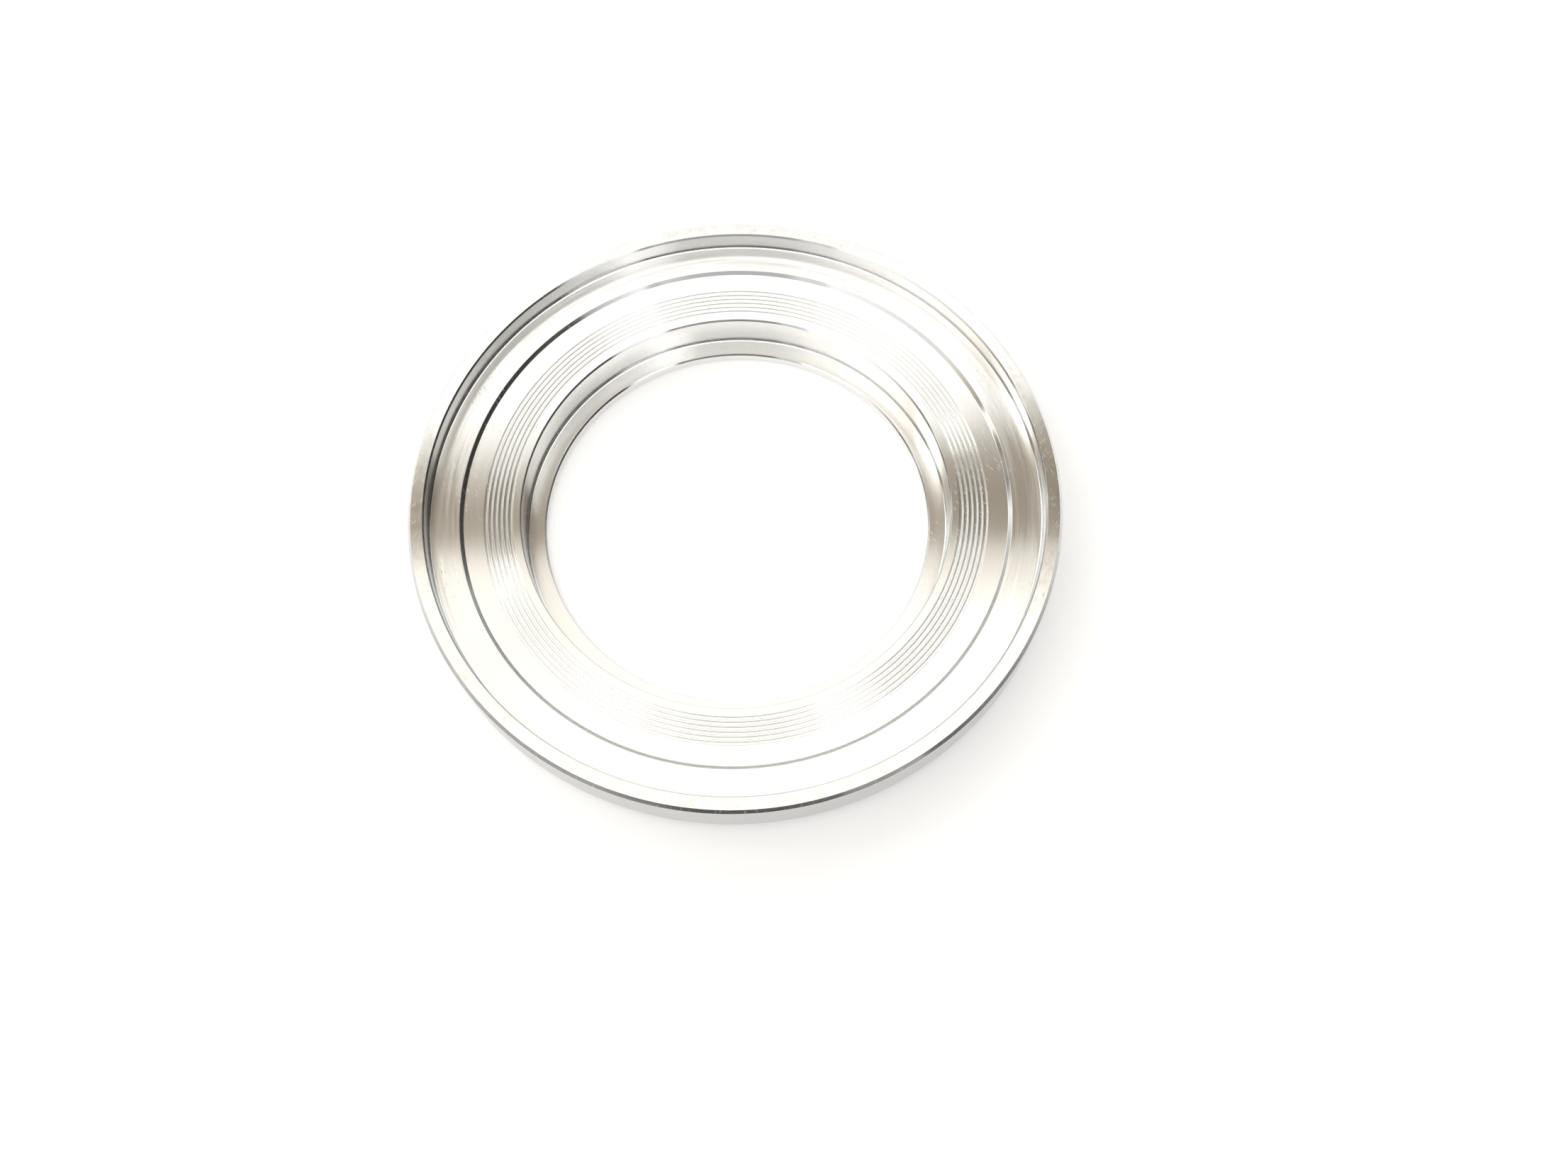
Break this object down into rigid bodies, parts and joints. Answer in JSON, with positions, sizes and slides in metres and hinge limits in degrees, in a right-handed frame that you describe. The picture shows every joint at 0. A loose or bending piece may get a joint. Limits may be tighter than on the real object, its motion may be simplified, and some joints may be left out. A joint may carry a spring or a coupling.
{
  "type": "stepped ring",
  "caption": "Flat turned aluminium ring with a raised rim, a stepped face with fine concentric grooves, a deeper centre recess with a narrow ledge, and an open bore.",
  "frame": {"origin": "middle of the underside, on the ring's axis", "axes": "+Z along the ring's axis, out of the grooved face"},
  "size_m": [0.1, 0.1, 0.011],
  "materials": {
    "turned_aluminium": "lathe turned, bright, fine concentric feed lines"
  },
  "bodies": {
    "root": {"stepped_ring": "turned_aluminium"}
  },
  "joints": []
}
